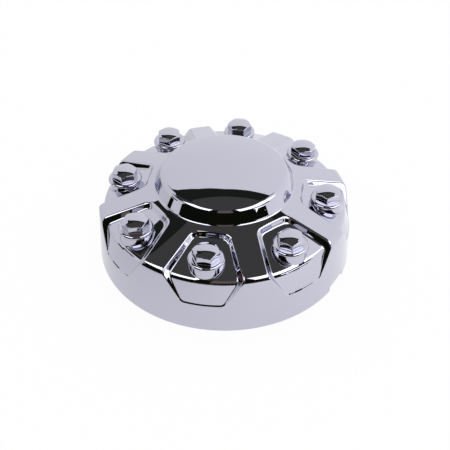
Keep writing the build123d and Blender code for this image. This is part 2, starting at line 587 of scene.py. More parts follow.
@dataclass
class DummyNut:
    """Flanged hexagon nut on its boss, drawn on its own axis.

    The cosines are those between the faces that meet at a round. The angles, steps and shares set the
    columns on a flat and the rows under the flange, round its edge, up the flats and over the crown.
    """

    boss_radius: float = 12.4
    boss_draft: float = 2.4
    boss_fillet: float = 0.4
    flange_radius: float = 13.6
    flange_top: float = 54.2
    flange_thickness: float = 2.8
    flange_round: float = 2.2
    flange_lip: float = 0.45
    hex_flats: float = 18.2
    hex_round: float = 0.6
    hex_cosine: float = 0.5
    crown_round: float = 0.7
    crown_cosine: float = 0.42
    nut_height: float = 62.4
    crown_radius: float = 22.0
    foot_fillet: float = 0.5
    under_steps: Span = (1.2, 0.2)
    lip_angles: Tuple[float, ...] = (-60.0, -30.0, 0.0)
    round_steps: int = 9
    fillet_steps: int = 6
    flat_angles: Tuple[float, ...] = (7.0, 13.5, 19.0, 23.2, 26.0, 27.8, 28.8, 29.5)
    flat_shares: Tuple[float, ...] = (0.35, 0.7, 0.86, 0.95, 1.0)
    crown_shares: Tuple[float, ...] = (
        0.985, 0.965, 0.945, 0.92, 0.89, 0.84, 0.76, 0.66, 0.54, 0.42, 0.3, 0.18, 0.08, 0.004,
    )

    @property
    def flange_bottom(self) -> float:
        """Height of the flange's lower face."""
        return self.flange_top - self.flange_thickness

    def boss_reach(self, heights: np.ndarray) -> np.ndarray:
        """Radius of the drafted boss at given heights."""
        return self.boss_radius + (self.flange_top - heights) * math.tan(math.radians(self.boss_draft))

    def boss(self, points: np.ndarray) -> np.ndarray:
        """Signed distance to the boss under the flange."""
        radius = np.hypot(points[..., 0], points[..., 1])
        return (radius - self.boss_reach(points[..., 2])) * math.cos(math.radians(self.boss_draft))

    def crown_height(self, radius: np.ndarray) -> np.ndarray:
        """Height of the domed top at given radii."""
        return self.nut_height - self.crown_radius + np.sqrt(self.crown_radius**2 - radius**2)

    @staticmethod
    def from_flat(angles: np.ndarray) -> np.ndarray:
        """Angle from the middle of the nearest flat."""
        sixth = math.pi / 3
        return np.abs((angles + sixth / 2) % sixth - sixth / 2)

    def hexagon(self, points: np.ndarray) -> np.ndarray:
        """Signed distance to the hexagon with its domed top.

        Args:
            points: Points on the nut's own axis.

        Returns:
            Signed distances, positive outside.
        """
        radius = np.hypot(points[..., 0], points[..., 1])
        turn = self.from_flat(np.arctan2(points[..., 1], points[..., 0]))
        face = radius * np.cos(turn) - self.hex_flats / 2
        beside = radius * np.cos(math.pi / 3 - turn) - self.hex_flats / 2
        prism = round_max(face, beside, self.hex_round, self.hex_cosine)
        centre = UP * (self.nut_height - self.crown_radius)
        crown = np.linalg.norm(points - centre, axis=-1) - self.crown_radius
        return round_max(prism, crown, self.crown_round, self.crown_cosine)

    def flange(self, points: np.ndarray) -> np.ndarray:
        """Signed distance to the flange disc, with its upper round and its lower lip.

        Args:
            points: Points on the nut's own axis.

        Returns:
            Signed distances, positive outside.
        """
        radius = np.hypot(points[..., 0], points[..., 1]) - self.flange_radius
        upper = round_max(radius, points[..., 2] - self.flange_top, self.flange_round, 0.0)
        return round_max(upper, self.flange_bottom - points[..., 2], self.flange_lip, 0.0)

    def shape(self, points: np.ndarray) -> np.ndarray:
        """Signed distance to the whole nut."""
        return round_min(self.flange(points), self.hexagon(points), self.foot_fillet, 0.0)

    def sheet(self) -> Sheet:
        """Surface of the nut from under the flange to the top.

        Returns:
            The sheet, on the nut's own axis.
        """
        half, span = np.array(self.flat_angles), 60.0
        flat = np.concatenate([-half[::-1], [0.0], half, [span / 2]])
        angles = np.radians(np.concatenate([flat + span * k for k in range(6)]))
        reach = self.hex_flats / 2 / np.cos(self.from_flat(angles))
        top, bottom = self.flange_top, self.flange_bottom
        lip, edge, foot = self.flange_lip, self.flange_round, self.foot_fillet
        lip_radius = self.flange_radius - lip
        top_radius = self.flange_radius - edge
        rows: List[Tuple[Any, Any]] = [(self.boss_radius - step, bottom) for step in self.under_steps]
        rows.append((lip_radius, bottom))
        for a in np.radians(self.lip_angles):
            rows.append((lip_radius + lip * math.cos(a), bottom + lip * (1.0 + math.sin(a))))
        for a in np.linspace(0.0, math.pi / 2, self.round_steps):
            rows.append((top_radius + edge * math.cos(a), top - edge * (1.0 - math.sin(a))))
        rows.append((0.5 * (top_radius + reach), top))
        for a in np.linspace(0.0, math.pi / 2, self.fillet_steps):
            rows.append((reach + foot * (1.0 - math.sin(a)), top + foot * (1.0 - math.cos(a))))
        flat_height = self.crown_height(reach) - top - foot
        rows += [(reach, top + foot + flat_height * k) for k in self.flat_shares]
        rows += [(reach * k, self.crown_height(reach * k)) for k in self.crown_shares]
        full = [(np.broadcast_to(r, angles.shape), np.broadcast_to(z, angles.shape)) for r, z in rows]
        radii, heights = [np.array(column)[..., None] for column in zip(*full)]
        points = settle(self.shape, level_ring(angles) * radii + UP * heights)
        return Sheet(points, gradient(self.shape, points))


@dataclass
class PushSocket:
    """Slotted tube behind a nut that pushes over the real wheel nut; drawn for the +X side.

    The tube is wider by the relief above its grip, and its upper end lies by the root inside the pad's floor.
    """

    pad: PadRecess
    grip_radius: float = 12.8
    relief: float = 0.5
    wall: float = 2.4
    mouth: float = 12.0
    grip_length: float = 20.0
    slot_count: int = 4
    slot_width: float = 2.4
    slot_angle: float = 45.0
    root: float = 1.4
    finger_columns: int = 9

    def __post_init__(self) -> None:
        """Work out the tube's outer radius and the height where its slots end."""
        self.outer = self.grip_radius + self.wall
        self.split = self.mouth + self.grip_length

    def at(self, ring: np.ndarray, radius: float, height: Union[float, np.ndarray]) -> np.ndarray:
        """Points round the socket's axis.

        Args:
            ring: Level unit vectors.
            radius: Distance from the axis.
            height: Height of all the points, or of each.

        Returns:
            The points, one a row.
        """
        points = ring * radius + self.pad.section.lug_axis
        points[:, 2] = height
        return points

    def tube_end(self, points: np.ndarray) -> np.ndarray:
        """Signed distance to the surface inside the pad's floor where the tube ends."""
        return self.pad.floor(points, self.root)

    def sheets(self) -> List[Sheet]:
        """Faces of the whole socket.

        Returns:
            Its sheets: the grip fingers, then the tube and its lower edge.
        """
        sheets: List[Sheet] = []
        pitch = 360.0 / self.slot_count
        half = pitch / 2 - math.degrees(self.slot_width / 2 / self.grip_radius)
        for k in range(self.slot_count):
            middle = self.slot_angle + (k + 0.5) * pitch
            sheets += self.finger(np.radians(np.linspace(middle - half, middle + half, self.finger_columns)))
        columns = self.slot_count * self.finger_columns
        ring = level_ring(np.radians(np.linspace(0.0, 360.0, columns, endpoint=False)))
        inner = self.grip_radius + self.relief
        for radius, normal in ((self.outer, ring), (inner, -ring)):
            roof = drop(self.tube_end, self.at(ring, radius, 0.0))
            tube = np.array([self.at(ring, radius, self.split), roof])
            sheets.append(Sheet(tube, np.array([normal, normal]), Side.BACK))
        edge = np.array([self.at(ring, radius, self.split) for radius in (inner, self.outer)])
        sheets.append(Sheet(edge, np.broadcast_to(-UP, edge.shape), Side.BACK))
        return sheets

    def finger(self, angles: np.ndarray) -> List[Sheet]:
        """One grip finger, each of its faces flat along the axis.

        Args:
            angles: Angles of its columns.

        Returns:
            Its four long faces and its two sides.
        """
        loop = [(self.grip_radius, self.mouth), (self.outer, self.mouth)]
        loop += [(radius, self.split) for radius, _ in loop[::-1]]
        ring = level_ring(angles)
        sheets: List[Sheet] = []
        for (r0, z0), (r1, z1) in zip(loop, loop[1:] + loop[:1]):
            normal = (ring * (z1 - z0) + UP * (r0 - r1)) / math.hypot(r1 - r0, z1 - z0)
            rows = np.array([self.at(ring, r0, z0), self.at(ring, r1, z1)])
            sheets.append(Sheet(rows, np.array([normal, normal]), Side.BACK, False))
        for column, sign in ((0, -1.0), (-1, 1.0)):
            a, b, c, d = [self.at(ring[[column]], radius, height)[0] for radius, height in loop]
            normal = level_ring(angles[column] + math.pi / 2) * sign
            sheets.append(Sheet(np.array([[a, b], [d, c]]), np.tile(normal, (2, 2, 1)), Side.BACK, False))
        return sheets


@dataclass
class PadEdge:
    """Points of half a pad's edge on the skin, with the directions into the pad."""

    along: np.ndarray
    phi: np.ndarray
    radius: np.ndarray

    def __post_init__(self) -> None:
        """Turn the edge's own direction by a right angle; both ends lie on the pad's middle line."""
        du = np.gradient(self.along)
        dv = np.gradient(self.phi) * self.radius
        size = np.hypot(du, dv)
        self.inward_u, self.inward_v = dv / size, -du / size
        self.inward_u[[0, -1]] = 1.0, -1.0
        self.inward_v[[0, -1]] = 0.0

    def offset(self, width: Union[float, np.ndarray]) -> Pair:
        """Lengths and angles of the edge moved into the pad by a width."""
        return self.along + self.inward_u * width, self.phi + self.inward_v * width / self.radius


@dataclass
class SectorGrid:
    """Grid of one pad's sector between the dome and the lower wall.

    Rows run from the sector's border over the land (land_rows), along the pad's edge (band, in millimetres
    from it), down the pad's side (flank, in shares of its width), past the side's foot (past, in
    millimetres), over the floor (floor_rows), round the boss's fillet (fillet_steps, out and up, and the
    other fillet fields, all in fillets) and up the boss (boss_rows). Columns are drawn together where the
    pad's edge bends (corner_pull) and where it crosses the shoulder (shoulder_pull), which is where the
    skin's normal rises by an amount within shoulder_span.
    """

    section: CapSection
    pad: PadRecess
    nut: DummyNut
    inset: float = 0.0
    inner: float = 58.0
    low: float = 18.0
    end_count: int = 12
    flank_count: int = 46
    foot_count: int = 20
    land_rows: int = 9
    land_power: float = 0.85
    floor_rows: int = 18
    band: Tuple[float, ...] = (-1.9, -1.3, -1.0, -0.7, -0.45, -0.22, -0.04)
    flank: Tuple[float, ...] = (0.06, 0.16, 0.28, 0.4, 0.52, 0.64, 0.76, 0.88, 0.97)
    past: Tuple[float, ...] = (0.15, 0.36, 0.62, 0.95, 1.4)
    hub_shift: float = 4.0
    outline_count: int = 1500
    outline_reach: float = 60.0
    end_half: float = 10.0
    end_span: float = 20.0
    foot_span: float = 30.0
    foot_lift: float = 3.0
    smoothing: int = 12
    corner_pull: float = 9.0
    corner_limit: float = 0.3
    shoulder_pull: float = 1.6
    shoulder_span: Span = (0.08, 0.955)
    flank_search: Tuple[float, float, int] = (0.02, 6.0, 240)
    flank_default: float = 3.0
    boss_cosine: float = 0.15
    boss_rounds: int = 4
    boss_rows: Tuple[float, ...] = (0.25, 0.6, 1.0)
    boss_overlap: float = 0.6
    fillet_foot: float = 1.8
    fillet_size: float = 1.1
    fillet_top: float = 1.3
    fillet_steps: Tuple[Span, ...] = (
        (1.0, 0.0), (0.7, 0.06), (0.45, 0.16), (0.28, 0.28), (0.16, 0.45), (0.06, 0.7), (0.0, 1.0),
    )

    def __post_init__(self) -> None:
        """Measure the profile along its length."""
        self.line, self.line_normals = self.section.profile(self.inner, self.low, self.inset)
        steps = np.linalg.norm(np.diff(self.line, axis=0), axis=1)
        self.length = np.concatenate([[0.0], np.cumsum(steps)])

    def shape(self, points: np.ndarray) -> np.ndarray:
        """Signed distance to this sector's surface without the boss."""
        return self.pad.surface(points, self.inset)

    def floor_shape(self, points: np.ndarray) -> np.ndarray:
        """Signed distance to the pad's floor alone."""
        return self.pad.floor(points, self.inset)

    def boss_shape(self, points: np.ndarray) -> np.ndarray:
        """Signed distance to the pad's floor with the boss on it."""
        boss = self.nut.boss(points - self.section.lug_axis)
        return round_min(self.floor_shape(points), boss, self.nut.boss_fillet, self.boss_cosine)

    def radius(self, along: np.ndarray) -> np.ndarray:
        """Radius of the skin at lengths down the profile."""
        return np.interp(along, self.length, self.line[:, 0])

    def base(self, along: np.ndarray, phi: np.ndarray) -> Pair:
        """Points and normals of the plain skin.

        Args:
            along: Lengths down the profile.
            phi: Polar angles in radians.

        Returns:
            Points and outward normals.
        """
        columns = (*self.line.T, *self.line_normals.T)
        r, z, out, lift = [np.interp(along, self.length, column)[..., None] for column in columns]
        ring = level_ring(phi)
        return ring * r + UP * z, (ring * out + UP * lift) / np.hypot(out, lift)

    def spoke(self, hub: float, bearings: np.ndarray, reach: np.ndarray) -> Pair:
        """Places on the skin at given bearings and distances from a point of its middle line.

        Args:
            hub: Length down the profile at that point.
            bearings: Bearings from the direction of the dome, in radians.
            reach: Distances.

        Returns:
            Lengths down the profile and polar angles.
        """
        along = hub - reach * np.cos(bearings)
        return along, reach * np.sin(bearings) / self.radius(along)

    def over_pad(self, along: np.ndarray, phi: np.ndarray) -> np.ndarray:
        """Whether places on the skin lie over the pad.

        Args:
            along: Lengths down the profile.
            phi: Polar angles.

        Returns:
            One truth value a place.
        """
        points, _ = self.base(along, phi)
        on_line = (along >= 0.0) & (along <= self.length[-1])
        return on_line & (self.pad.sides(points, self.inset) < 0.0)

    def outline(self) -> Pair:
        """Half of the pad's edge on the skin, from the inner end's middle to the foot's.

        Returns:
            Lengths down the profile and polar angles.
        """
        face = slice(0, self.section.straight_points)
        hub_radius = self.section.lug_radius + self.hub_shift
        hub = float(np.interp(hub_radius, self.line[face, 0], self.length[face]))
        bearings = np.linspace(0.0, math.pi, self.outline_count)
        high = np.full_like(bearings, self.outline_reach)
        reach = bisect(lambda t: self.over_pad(*self.spoke(hub, bearings, t)), np.zeros_like(bearings), high)
        return self.spoke(hub, bearings, reach)

    def spaced(self) -> PadEdge:
        """Outline points, closer at corners and over the shoulder.

        Returns:
            The edge, whose columns number end_count, flank_count and foot_count in turn.
        """
        along, phi = self.outline()
        radius = self.radius(along)
        du = np.diff(along)
        dv = np.diff(phi) * 0.5 * (radius[1:] + radius[:-1])
        ds = np.hypot(du, dv)
        bend = np.abs(np.gradient(np.unwrap(np.arctan2(dv, du)))) / np.maximum(ds, TINY)
        window = 2 * self.smoothing + 1
        bend = np.convolve(np.pad(bend, self.smoothing, mode="edge"), np.ones(window) / window, mode="valid")
        lift = np.interp(0.5 * (along[1:] + along[:-1]), self.length, self.line_normals[:, 1])
        shoulder = (lift > self.shoulder_span[0]) & (lift < self.shoulder_span[1])
        pull = self.corner_pull * np.minimum(bend, self.corner_limit) + self.shoulder_pull * shoulder
        total = np.concatenate([[0.0], np.cumsum(ds * (1.0 + pull))])
        height = np.interp(along, self.length, self.line[:, 1])
        end_miss = np.where(along > self.end_span, np.inf, np.abs(phi * radius - self.end_half))
        foot_miss = np.abs(height - self.pad.foot_height - self.foot_lift)
        foot_miss = np.where(along < self.foot_span, np.inf, foot_miss)
        stops = [0.0, total[np.argmin(end_miss)], total[np.argmin(foot_miss)], total[-1]]
        marks = [np.zeros(1)]
        for start, stop, count in zip(stops, stops[1:], (self.end_count, self.flank_count, self.foot_count)):
            marks.append(np.linspace(start, stop, count + 1)[1:])
        at = np.concatenate(marks)
        along = np.interp(at, total, along)
        return PadEdge(along, np.interp(at, total, phi), self.radius(along))

    def border(self, edge: PadEdge) -> Pair:
        """Points of the sector's border, one for each column of the pad's edge.

        Args:
            edge: The pad's edge.

        Returns:
            Lengths down the profile and polar angles.
        """
        first, last = self.end_count, self.end_count + self.flank_count
        limit = math.pi / self.section.lug_count
        along = edge.along[first : last + 1]
        middle = (along - along[0]) / (along[-1] - along[0]) * self.length[-1]
        lengths = [np.zeros(first), middle, np.full(self.foot_count, self.length[-1])]
        angles = [
            np.linspace(0.0, limit, first + 1)[:-1],
            np.full(len(along), limit),
            np.linspace(limit, 0.0, self.foot_count + 1)[1:],
        ]
        return np.concatenate(lengths), np.concatenate(angles)

    def paths(self) -> Pair:
        """Rows of places from the sector's border to the pad's floor.

        Returns:
            Lengths and angles, rows by columns, for half the sector.
        """
        edge = self.spaced()
        width = self.flank_widths(edge)
        offsets: List[Any] = [*self.band]
        offsets += [width * share for share in self.flank]
        offsets += [width + step for step in self.past]
        blend = np.linspace(0.0, 1.0, self.land_rows + 1)[:-1, None] ** self.land_power
        bands = [np.array(rows) for rows in zip(*[edge.offset(step) for step in offsets])]
        lands = [line + (band[0] - line) * blend for line, band in zip(self.border(edge), bands)]
        lengths, angles = [np.concatenate(rows) for rows in zip(lands, bands)]
        return lengths, angles

    def flank_widths(self, edge: PadEdge) -> np.ndarray:
        """Width of the pad's sloping side, seen square to the skin.

        Args:
            edge: The pad's edge.

        Returns:
            The width at each point of the edge.
        """
        steps = np.linspace(*self.flank_search)
        points, normals = self.base(*edge.offset(steps[:, None]))
        met = sink(self.shape, points, -normals)
        on_floor = -self.pad.sides(met, self.inset) > self.floor_shape(met)
        width = steps[np.argmax(on_floor, axis=0)]
        return np.where(on_floor.any(axis=0), width, self.flank_default)

    def sheet(self) -> Sheet:
        """Surface of the whole sector, ring by ring from its border inward.

        Returns:
            The sheet, for the +X side.
        """
        u, p = self.paths()
        u = np.concatenate([u, u[:, -2:0:-1]], axis=1)
        p = np.concatenate([p, -p[:, -2:0:-1]], axis=1)
        points, normals = self.base(u, p)
        return self.with_middle(sink(self.shape, points, -normals))

    def about_nut(self, points: np.ndarray) -> np.ndarray:
        """Level unit vectors from the nut's axis towards points."""
        offset = points - self.section.lug_axis
        return level_ring(np.arctan2(offset[:, 1], offset[:, 0]))

    def floor_rings(self, edge: np.ndarray, foot: np.ndarray) -> np.ndarray:
        """Rings over the pad's floor.

        Args:
            edge: Ring to start from.
            foot: Ring to end at.

        Returns:
            The rings after the first, rows by columns by 3.
        """
        ways = edge + (foot - edge) * shares(self.floor_rows)[:, None, None]
        return settle(self.floor_shape, ways)

    def with_middle(self, rows: np.ndarray) -> Sheet:
        """Carry the rings on over the pad's floor and up the boss.

        Args:
            rows: Points of the rings so far.

        Returns:
            The sheet of all the rings.
        """
        nut, axis, fillet = self.nut, self.section.lug_axis, self.nut.boss_fillet
        ring = self.about_nut(rows[-1])
        foot = drop(self.floor_shape, axis + ring * (nut.boss_radius + self.fillet_foot * fillet))
        reach = np.full(len(ring), nut.boss_radius)
        for _ in range(self.boss_rounds):
            corner = drop(self.floor_shape, axis + ring * reach[:, None])
            reach = nut.boss_reach(corner[:, 2])
        steps = [ring * out + UP * lift for out, lift in self.fillet_steps]
        bend = settle(self.boss_shape, corner + np.array(steps) * fillet * self.fillet_size)
        low = corner[:, 2] + self.fillet_top * fillet
        top = nut.flange_bottom + self.boss_overlap
        levels = [low + (top - low) * share for share in self.boss_rows]
        wall = [axis + ring * nut.boss_reach(z)[:, None] + UP * z[:, None] for z in levels]
        middle = np.concatenate([self.floor_rings(rows[-1], foot), bend, np.array(wall)])
        normals = np.concatenate([gradient(self.shape, rows), gradient(self.boss_shape, middle)])
        return Sheet(np.concatenate([rows, middle]), normals)


@dataclass
class CoreGrid(SectorGrid):
    """Grid of one sector of the shell's inside, which follows the pad at an even wall."""

    end_count: int = 6
    flank_count: int = 20
    foot_count: int = 10
    land_rows: int = 4
    floor_rows: int = 5
    low: float = 8.0
    band: Tuple[float, ...] = (-1.4, -0.7, -0.25)
    flank: Tuple[float, ...] = (0.12, 0.5, 0.88)
    past: Tuple[float, ...] = (0.3, 0.9)
    axis_gap: float = 0.02

    def with_middle(self, rows: np.ndarray) -> Sheet:
        """Carry the rings on to the hollow behind the nut.

        Args:
            rows: Points of the rings so far.

        Returns:
            The sheet of all the rings.
        """
        nut, axis, wall = self.nut, self.section.lug_axis, self.section.wall
        ring = self.about_nut(rows[-1])
        flat = np.broadcast_to(-UP, ring.shape)
        boss, core = nut.boss_radius - wall, nut.hex_flats / 2 - wall
        roof, top = nut.flange_top - wall, nut.nut_height - wall
        foot = drop(self.floor_shape, axis + ring * boss)
        skin = np.concatenate([rows, self.floor_rings(rows[-1], foot)])
        steps = [(boss, roof, -ring), (boss, roof, flat), (core, roof, flat), (core, roof, -ring)]
        steps += [(core, top, -ring), (core, top, flat), (self.axis_gap, top, flat)]
        hollow = [foot] + [axis + ring * radius + UP * height for radius, height, _ in steps]
        hollow_normals = [-ring] + [normal for _, _, normal in steps]
        normals = np.concatenate([-gradient(self.shape, skin), np.array(hollow_normals)])
        return Sheet(np.concatenate([skin, np.array(hollow)]), normals, Side.BACK)


@dataclass
class CapShell:
    """The moulded shell: face, pads, wall, rim with its pry notch, and the inside."""

    section: CapSection
    pad: PadRecess
    nut: DummyNut
    socket: PushSocket
    first_lug_angle: float = -90.0
    notch_angle: float = -22.5
    notch_width: float = 22.0
    notch_height: float = 4.5
    notch_fillet: float = 2.0
    notch_corner_steps: int = 6
    notch_top_steps: int = 5
    notch_spread: int = 12
    wall_rows: Tuple[float, ...] = (0.0, 0.4, 0.75, 1.0)

    def around(self, sheets: Sequence[Sheet]) -> List[Sheet]:
        """Repeat sheets drawn for the +X side at every nut.

        Args:
            sheets: The sheets of one nut's sector.

        Returns:
            All the sheets, nut by nut.
        """
        count = self.section.lug_count
        bearings = [self.first_lug_angle + 360.0 / count * k for k in range(count)]
        return [sheet.turned(bearing) for bearing in bearings for sheet in sheets]

    def face(self) -> List[Sheet]:
        """Outer skin with the dome, the wall and the rim.

        Returns:
            Its sheets.
        """
        sector = SectorGrid(self.section, self.pad, self.nut)
        dome = self.dome(sector.end_count, sector.inner, 0.0)
        return [*self.around([sector.sheet()]), dome, self.lower_wall(sector.low, 0.0), self.rim()]

    def nuts(self) -> List[Sheet]:
        """The dummy nuts.

        Returns:
            One sheet a nut.
        """
        nut = self.nut.sheet()
        return self.around([Sheet(nut.points + self.section.lug_axis, nut.normals)])

    def back(self) -> List[Sheet]:
        """Inside of the shell with its sockets.

        Returns:
            Its sheets.
        """
        wall = self.section.wall
        sector = CoreGrid(self.section, self.pad, self.nut, wall)
        sectors = self.around([sector.sheet(), *self.socket.sheets()])
        return [*sectors, self.dome(sector.end_count, sector.inner, wall), self.lower_wall(sector.low, wall)]

    @staticmethod
    def skin_sheet(points: np.ndarray, normals: np.ndarray, inset: float) -> Sheet:
        """Sheet of the outer skin, or of the inside where it is set in.

        Args:
            points: Rows by columns by 3.
            normals: Outward normals of the same shape.
            inset: How far the surface is set in.

        Returns:
            The sheet, which looks into the shell where it is set in.
        """
        return Sheet(points, -normals, Side.BACK) if inset else Sheet(points, normals)

    def dome(self, half_count: int, outer: float, inset: float) -> Sheet:
        """The dome and the face round its foot.

        Args:
            half_count: Columns in half a sector.
            outer: Radius where the sectors start.
            inset: How far the surface is set in.

        Returns:
            The sheet.
        """
        points, normals = self.section.dome_profile(outer, inset)
        columns = 2 * half_count * self.section.lug_count
        angles = np.radians(np.linspace(0.0, 360.0, columns, endpoint=False))
        return self.skin_sheet(revolved(points, angles), revolved(normals, angles), inset)

    def even_angles(self) -> np.ndarray:
        """Evenly spaced polar angles of the wall's columns, with the notch in the middle."""
        columns = 2 * SectorGrid.foot_count * self.section.lug_count
        return np.radians(self.notch_angle + np.linspace(-180.0, 180.0, columns, endpoint=False))

    def rim_loop(self) -> Pair:
        """The rim's edge with its notch, once round.

        Returns:
            Polar angles in radians, and heights.
        """
        angles = self.even_angles()
        heights = np.zeros_like(angles)
        reach = self.notch_width / 2 / self.section.rim_radius
        corner = self.notch_fillet / self.section.rim_radius
        straight = self.notch_height - self.notch_fillet
        path: List[Span] = [(-reach, 0.0), (-reach, 0.5 * straight)]
        for t in np.linspace(0.0, math.pi / 2, self.notch_corner_steps):
            path.append((-reach + corner * (1.0 - math.cos(t)), straight + self.notch_fillet * math.sin(t)))
        half = np.linspace(-reach + corner, 0.0, self.notch_top_steps)
        path += [(x, self.notch_height) for x in half[1:]]
        path += [(-x, z) for x, z in path[-2::-1]]
        start = len(angles) // 2 - len(path) // 2
        stop = start + len(path)
        angles[start:stop] = math.radians(self.notch_angle) + np.array([x for x, _ in path])
        heights[start:stop] = [z for _, z in path]
        spread = self.notch_spread
        for low, high in ((start - spread, start), (stop - 1, stop - 1 + spread)):
            angles[low : high + 1] = np.linspace(angles[low], angles[high], spread + 1)
        return angles, heights

    def lower_wall(self, top: float, inset: float) -> Sheet:
        """The plain wall between the pads and the rim.

        Args:
            top: Height where the sectors end.
            inset: How far the surface is set in.

        Returns:
            The sheet.
        """
        angles, heights = self.rim_loop()
        level = self.even_angles()
        cosine, sine = math.cos(self.section.draft), math.sin(self.section.draft)
        start = top - inset * sine
        points: List[np.ndarray] = []
        normals: List[np.ndarray] = []
        for share in self.wall_rows:
            ring = level_ring(level + (angles - level) * share)
            z = start + (heights - start) * share
            radius = self.section.rim_radius - z * self.section.draft_rate - inset / cosine
            points.append(ring * radius[:, None] + UP * z[:, None])
            normals.append(ring * cosine + UP * sine)
        return self.skin_sheet(np.array(points), np.array(normals), inset)

    def rim(self) -> Sheet:
        """The rim's flat edge, which also lines the notch.

        Returns:
            The sheet.
        """
        angles, heights = self.rim_loop()
        outer = self.section.rim_radius - heights * self.section.draft_rate
        inner = outer - self.section.wall / math.cos(self.section.draft)
        run = np.gradient(np.unwrap(angles)) * self.section.rim_radius
        lift = np.gradient(heights)
        size = np.maximum(np.hypot(run, lift), TINY)[:, None]
        normal = (level_ring(angles + math.pi / 2) * lift[:, None] - UP * run[:, None]) / size
        ring = level_ring(angles)
        rows = [ring * radius[:, None] + UP * heights[:, None] for radius in (outer, inner)]
        return Sheet(np.array(rows), np.array([normal, normal]))


class NodeBench:
    """Adds nodes to one tree, sets their sockets and joins them."""

    def __init__(self, tree: bpy.types.NodeTree) -> None:
        """Work on the given tree."""
        self.tree = tree

    def plug(self, node: bpy.types.Node, sockets: Dict[Union[int, str], Any]) -> None:
        """Set or join a node's inputs.

        Args:
            node: The node.
            sockets: Value for each input; an output socket is joined to it.
        """
        for key, value in sockets.items():
            if isinstance(value, bpy.types.NodeSocket):
                self.tree.links.new(value, node.inputs[key])
            else:
                node.inputs[key].default_value = value

    def add(self, kind: str, sockets: Dict[Union[int, str], Any], operation: str = "") -> bpy.types.Node:
        """Add a node.

        Args:
            kind: Blender's name of the node's type.
            sockets: Value or output socket for each input.
            operation: What a math node does.

        Returns:
            The new node.
        """
        node = self.tree.nodes.new(kind)
        if operation:
            node.operation = operation
        self.plug(node, sockets)
        return node

    def noise(self, scale: float, detail: float) -> bpy.types.NodeSocket:
        """Noise laid out on the piece itself.

        Args:
            scale: Scale of the noise.
            detail: Detail of the noise.

        Returns:
            Its value.
        """
        place = self.add("ShaderNodeTexCoord", {}).outputs["Object"]
        sockets = {"Vector": place, "Scale": scale, "Detail": detail}
        return self.add("ShaderNodeTexNoise", sockets).outputs["Fac"]

    def spread(self, value: bpy.types.NodeSocket, source: Span, target: Span) -> bpy.types.NodeSocket:
        """Carry one range of values over to another.

        Args:
            value: The value.
            source: Its range.
            target: The new range.

        Returns:
            The new value.
        """
        ends = {"From Min": source[0], "From Max": source[1], "To Min": target[0], "To Max": target[1]}
        return self.add("ShaderNodeMapRange", {"Value": value, **ends}).outputs["Result"]


def new_material(name: str) -> bpy.types.Material:
    """Make a material with nodes.

    Args:
        name: Its name.

    Returns:
        The new material.
    """
    made = bpy.data.materials.new(name)
    made.use_nodes = True
    return made


@dataclass(frozen=True)
class ChromePlate:
    """Bright chrome over moulded plastic, with faint waves, haze and a few dull specks."""

    name: str = "bright_chrome"
    # The grey is the chrome's own reflectance; the blue cast is a painted reflection of a bluish surround
    colour: Colour = (0.52, 0.52, 0.615, 1.0)
    roughness: Span = (0.006, 0.026)
    haze_scale: float = 26.0
    haze_detail: float = 3.0
    haze_span: Span = (0.35, 0.75)
    speck_scale: float = 330.0
    speck_span: Span = (0.79, 0.86)
    speck_roughness: float = 0.14
    wave_scale: float = 38.0
    wave_detail: float = 1.0
    wave_depth: float = 0.00006

    def material(self) -> bpy.types.Material:
        """Make the material.

        Returns:
            The new material.
        """
        made = new_material(self.name)
        bench = NodeBench(made.node_tree)
        haze = bench.spread(bench.noise(self.haze_scale, self.haze_detail), self.haze_span, self.roughness)
        speck = bench.spread(bench.noise(self.speck_scale, 0.0), self.speck_span, (0.0, self.speck_roughness))
        rough = bench.add("ShaderNodeMath", {0: haze, 1: speck}, "ADD")
        wave = bench.noise(self.wave_scale, self.wave_detail)
        bump = bench.add("ShaderNodeBump", {"Strength": 1.0, "Distance": self.wave_depth, "Height": wave})
        shader = made.node_tree.nodes["Principled BSDF"]
        bench.plug(shader, {"Metallic": 1.0, "Base Color": self.colour})
        bench.plug(shader, {"Roughness": rough.outputs[0], "Normal": bump.outputs["Normal"]})
        return made


@dataclass(frozen=True)
class BackPlate:
    """Thinner, hazier plating on the inside of the shell."""

    name: str = "hazy_chrome"
    colour: Colour = (0.44, 0.44, 0.48, 1.0)
    roughness: float = 0.32

    def material(self) -> bpy.types.Material:
        """Make the material.

        Returns:
            The new material.
        """
        made = new_material(self.name)
        shader = made.node_tree.nodes["Principled BSDF"]
        sockets = {"Metallic": 1.0, "Base Color": self.colour, "Roughness": self.roughness}
        NodeBench(made.node_tree).plug(shader, sockets)
        return made


@dataclass
class PhotoCamera:
    """Camera at the photograph's viewing angle."""

    target: Tuple[float, float, float] = (0.0, 0.0, 0.030)
    distance: float = 0.599
    polar: float = -80.75
    elevation: float = 40.0
    lens: float = 58.0
    sensor: float = 36.0
    shift: Span = (0.0009, -0.0347)

    def heading(self, right: float, away: float) -> Span:
        """Turn an offset seen from the camera into the frame's X and Y.

        Args:
            right: Offset to the camera's right.
            away: Offset away from the camera.

        Returns:
            X and Y.
        """
        ahead = math.radians(self.polar + 180.0)
        x = away * math.cos(ahead) + right * math.sin(ahead)
        y = away * math.sin(ahead) - right * math.cos(ahead)
        return x, y

    def build(self) -> None:
        """Create the camera and make it the scene's."""
        data = bpy.data.cameras.new("view")
        data.lens = self.lens
        data.sensor_width = self.sensor
        data.shift_x, data.shift_y = self.shift
        camera = bpy.data.objects.new("view", data)
        a, e = math.radians(self.polar), math.radians(self.elevation)
        away = Vector((math.cos(e) * math.cos(a), math.cos(e) * math.sin(a), math.sin(e)))
        camera.location = Vector(self.target) + away * self.distance
        camera.rotation_euler = (-away).to_track_quat("-Z", "Y").to_euler()
        bpy.context.collection.objects.link(camera)
        bpy.context.scene.camera = camera


@dataclass(frozen=True)
class LevelPanel:
    """Level panel overhead; its corners, right and away, are for a height of one metre."""

    name: str
    tone: Tone
    corners: Tuple[Span, ...]


